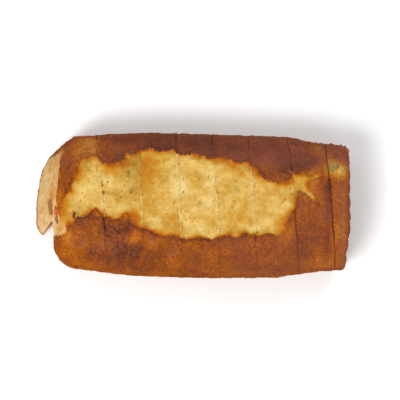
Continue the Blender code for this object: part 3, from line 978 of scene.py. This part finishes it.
def cake_material():
    paint = Paint("cake")
    fine = paint.grain(*FINE_NOISE)
    speckle = paint.grain(*SPECKLE_NOISE)
    sway, specks = fine - 0.5, speckle - 0.5
    crumb = paint.stored("crumb")
    dull = paint.stored("dull")
    jagged = paint.stored("torn") + sway * FINE_TEAR + (paint.grain(*TEAR_NOISE) - 0.5) * BROAD_TEAR
    open_skin = paint.above(jagged, *TORN_STEP)
    uneven = sway * CRUST_FINE + specks * CRUST_SPECKLE
    crust_tone = paint.stored("crust") + uneven * (dull * DULL_GAIN + 1.0)
    glint = paint.above(paint.grain(*GLINT_NOISE), *GLINT_STEP)
    pale_tone = paint.stored("pale") + sway * SKIN_FINE + (paint.grain(*COARSE_NOISE) - 0.5) * SKIN_COARSE
    pale_tone -= glint * SKIN_GLINT
    tone = crust_tone + (pale_tone - crust_tone) * open_skin
    crust = paint.node("ShaderNodeValToRGB", {"stops": CRUST_STOPS}, {"Fac": tone})
    slope = paint.node("ShaderNodeMapping", None, {"Vector": paint.place, "Scale": (1.0, 1.0, FACE_STRETCH)})
    crumb_tone = paint.grain(*CRUMB_NOISE, slope) * CRUMB_UNEVEN + CRUMB_TONE
    crumb_tone += paint.stored("pit") * PIT_SHADE + paint.stored("toast")
    inside = paint.node("ShaderNodeValToRGB", {"stops": CRUMB_STOPS}, {"Fac": crumb_tone})
    # mixes in dull crust and painted haze, then stains and painted shade
    stained_and_shaded = paint.mix(paint.stored("stain"), paint.mix(dull * (1 - open_skin), crust, HAZY_DULL_RED), OLIVE)
    relief = paint.bump(fine * (1 - crumb * 0.6), 0.9, 0.55)
    greasy = paint.above(paint.grain(*GREASE_NOISE), *GREASE_STEP)
    paint.set_shader(
        Base_Color=paint.mix(crumb, stained_and_shaded, inside),
        Roughness=0.30 + fine * 0.35 + crumb * 0.2,
        Normal=paint.bump(speckle * (1 - crumb * 0.6), 0.6, 0.28, relief),
        Coat_Weight=(greasy * 0.45 + 0.03) * paint.stored("top"),
        Coat_Roughness=0.25,
        Subsurface_Weight=0.10,
        Subsurface_Radius=(1.0, 0.45, 0.18),
        Subsurface_Scale=0.002,
        Specular_IOR_Level=0.0,
    )
    return paint.material


cake_finish = cake_material()
for cake, name in zip(cakes, slice_names):
    cake.data.materials.append(cake_finish)
    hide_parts(name)
    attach(cake, "root")
print("finished", len(cakes), "slices")

# %% [markdown]
# ## Fruit
# Raisins are wrinkled, candied peel and cherries are smoother. Each lump starts as a ball of small
# triangles, which is wrinkled, tapered and stretched to the size of the fruit. The lumps lie where the
# solids carry theirs. Most of those on the top are sunk, so that cake hides part of each. On the cut face
# they are bare.

# %% Shape a lump of fruit
BARE, SUNK = 0.4, 0.15  # how much further out a lump reaches than the solid below it
BALL_SPREAD = 3.0  # how much noise a ball of radius 1 spans
FOLD_SIZE = 1.9
DENT, DENT_SIZE = 0.09, 2.2
FIRST_SEED = 40


def lump(bm, middle, sizes, turn, lean, wrinkle, taper, cover, seed):
    """Adds a lump of fruit to a mesh. The taper makes it wider at its front."""
    made = bmesh.ops.create_icosphere(bm, subdivisions=4, radius=1.0)["verts"]
    ball = np.array([vert.co for vert in made])
    spread = ball * BALL_SPREAD
    folds = 1.0 - np.abs(ruffle(spread, FOLD_SIZE, seed))
    shaped = ball * (1.0 - wrinkle * (1.0 - folds**2))[:, None]
    shaped *= (1.0 + DENT * ruffle(spread, DENT_SIZE, seed + 1, 2))[:, None]
    shaped[:, 2] *= 1.0 - taper * ball[:, 1]
    shaped *= np.array(sizes) + cover
    turned = Matrix.Rotation(math.radians(turn), 3, "Z") @ Matrix.Rotation(math.radians(lean), 3, "Y")
    for vert, place in zip(made, shaped):
        vert.co = (turned @ Vector(place) + Vector(middle)) * MM


def finish_fruit(name, slot, material, places, wrinkle, taper, cover):
    """Makes one piece of all the lumps of a kind."""
    bm = bmesh.new()
    for number, place in enumerate(places):
        lump(bm, *place, wrinkle, taper, cover, FIRST_SEED + number)
    mesh = mesh_from(bm, name)
    mesh.shade_smooth()
    mesh.materials.append(material)
    piece = add_object(name, mesh)
    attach(piece, "root")
    print(name, "of", len(places))


print("a lump reaches", BARE, "or", SUNK, "mm past its solid")


# %% Mix the fruit materials
def fruit_material(name, dark, light, gloss):
    """Fruit mottled between two colours, which lets a little light in."""
    paint = Paint(name)
    mottle = paint.grain(0.8, 3.0)
    colour = paint.node("ShaderNodeValToRGB", {"stops": ((0.3, dark), (0.7, light))}, {"Fac": mottle})
    paint.set_shader(
        Base_Color=colour,
        Roughness=gloss + mottle * 0.2,
        Normal=paint.bump(paint.grain(0.7, 4.0), 0.6, 0.8),
        Subsurface_Weight=0.25,
        Subsurface_Scale=0.002,
        Specular_IOR_Level=0.08,
    )
    return paint.material


raisin_finish = fruit_material("raisin", (124, 74, 34), (162, 108, 54), 0.4)
plum_finish = fruit_material("dark_raisin", (86, 38, 26), (124, 62, 42), 0.3)
orange_finish = fruit_material("orange_peel", (164, 76, 30), (188, 96, 44), 0.3)
green_finish = fruit_material("green_peel", (116, 88, 40), (150, 128, 76), 0.4)
cherry_finish = fruit_material("cherry", (78, 34, 30), (116, 50, 46), 0.25)
print("five kinds of fruit finish")


# %% Lay the fruit
TOP_RAISINS = (((-68.7, -8.1, 47.0), (0.9, 2.9, 1.4), -4, 0),)
GREEN_PEEL = (
    ((83.9, 18.7, 45.2), (1.6, 2.8, 2.0), -18, 0),
    ((86.2, 20.8, 45.3), (1.9, 1.2, 1.0), 30, 0),
)
CHERRIES = (
    ((61.5, 34.1, 41.0), (2.5, 2.6, 2.2), 15, 0),
    ((80.3, -38.2, 27.0), (1.6, 1.0, 0.9), 5, 0),
)
FRUIT = (  # name, slot, finish, lumps, their wrinkles, taper and cover
    ("raisins", "raisin", raisin_finish, FACE_RAISINS, 0.10, -0.12, BARE),
    ("orange_peel", "candied_fruit", orange_finish, FACE_PEEL, 0.05, 0.40, BARE),
    ("dark_raisins", "raisin", plum_finish, TOP_RAISINS, 0.14, 0.15, SUNK),
    ("green_peel", "candied_fruit", green_finish, GREEN_PEEL, 0.38, 0.20, BARE),
    ("cherries", "candied_fruit", cherry_finish, CHERRIES, 0.12, 0.10, SUNK),
)
for kind in FRUIT:
    finish_fruit(*kind)

# %% [markdown]
# ## Crumbs
# A knife leaves crumbs: a few coarse ones cling along the edges, where they roughen the loaf's outline, and
# finer ones lie along the cuts. Each is a small ball of triangles with its points moved in and out by
# chance, set a little way into the cake, and all of them are one mesh.

# %% Place the crumbs
COARSE_CRUMBS = (
    (76, 267, 0.8), (80, 267, 0.6), (84, 267.5, 0.7), (90, 268.5, 0.6), (71, 264.5, 0.7), (97, 270, 0.5),
    (347, 150, 0.8), (347.6, 152, 0.9), (348, 155, 0.6), (347.8, 158, 0.8), (345, 147, 0.7),
    (341, 145.5, 0.6), (72, 139.5, 0.6), (85, 137.5, 0.7), (95, 137, 0.6), (104, 136.5, 0.5),
    (176, 134, 0.9), (316, 143.5, 0.6), (309, 142.5, 0.6), (331, 144.5, 0.7), (322, 143.5, 0.5),
)
FINE_CRUMBS = 70
FINE_SIZES = (0.22, 0.42)
CENTRE_PIXEL = Vector((200, 200))
PIXEL_STEP = 0.5
CUT_HALF, CUT_SPREAD = 36, 2.0  # fine crumbs lie within this y, about this far from a cut
ABOVE = 100  # a height over the whole loaf
CRUMB_STRETCH, CRUMB_ROUGH = (0.7, 1.2), (0.8, 1.15)
CRUMB_STAND = 0.3  # how far out its middle is, in shares of its size


def crumb_place(px, py):
    """The point and normal of the cake under a pixel, or nearer the middle if it misses."""
    pixel = Vector((px, py))
    while True:
        point, normal = loaf_surface.ray_cast(camera.location, ray_through(*pixel).normalized())[:2]
        if point is not None:
            return point / MM, normal
        pixel += (CENTRE_PIXEL - pixel).normalized() * PIXEL_STEP


def cut_places():
    """Seeded places near the knife cuts on top of the loaf."""
    for _ in range(FINE_CRUMBS):
        _, middle, normal = knife_faces_of(int(rng.integers(1, len(slice_names))))[0]
        y = rng.uniform(-CUT_HALF, CUT_HALF)
        x = middle[0] - (y - middle[1]) * normal[1] / normal[0] + rng.normal(0.0, CUT_SPREAD)
        point, outward = loaf_surface.ray_cast(Vector((x, y, ABOVE)) * MM, Vector((0, 0, -1)))[:2]
        if point is not None:
            yield point / MM, outward


def crumb_ball(bm, point, normal, size):
    """Adds a crumb to a mesh, never below the ground."""
    made = bmesh.ops.create_icosphere(bm, subdivisions=2, radius=1.0)["verts"]
    stretch = rng.uniform(*CRUMB_STRETCH, 3)
    middle = Vector(point) + normal * size * CRUMB_STAND
    for vert in made:
        shaped = Vector(vert.co[axis] * stretch[axis] for axis in range(3)) * size * rng.uniform(*CRUMB_ROUGH)
        vert.co = (middle + shaped) * MM
        vert.co.z = max(vert.co.z, 0.0)


bm = bmesh.new()
for *pixel, size in COARSE_CRUMBS:
    crumb_ball(bm, *crumb_place(*pixel), size)
for point, outward in cut_places():
    crumb_ball(bm, point, outward, rng.uniform(*FINE_SIZES))
crumb_mesh = mesh_from(bm, "crumbs")
crumb_mesh.shade_smooth()


# %% Finish the crumbs
def crumb_material():
    paint = Paint("loose_crumb")
    mottle = paint.grain(0.5, 3.0)
    stops = ((0.35, (176, 116, 56)), (0.5, (146, 82, 30)), (0.65, (112, 60, 28)))
    paint.set_shader(
        Base_Color=paint.node("ShaderNodeValToRGB", {"stops": stops}, {"Fac": mottle}),
        Roughness=0.6,
        Normal=paint.bump(paint.grain(2.5, 3.0), 0.5, 0.2),
        Specular_IOR_Level=0.08,
    )
    return paint.material


crumb_mesh.materials.append(crumb_material())
crumbs = add_object("crumbs", crumb_mesh)
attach(crumbs, "root")
print("crumbs of", len(crumb_mesh.polygons), "faces")
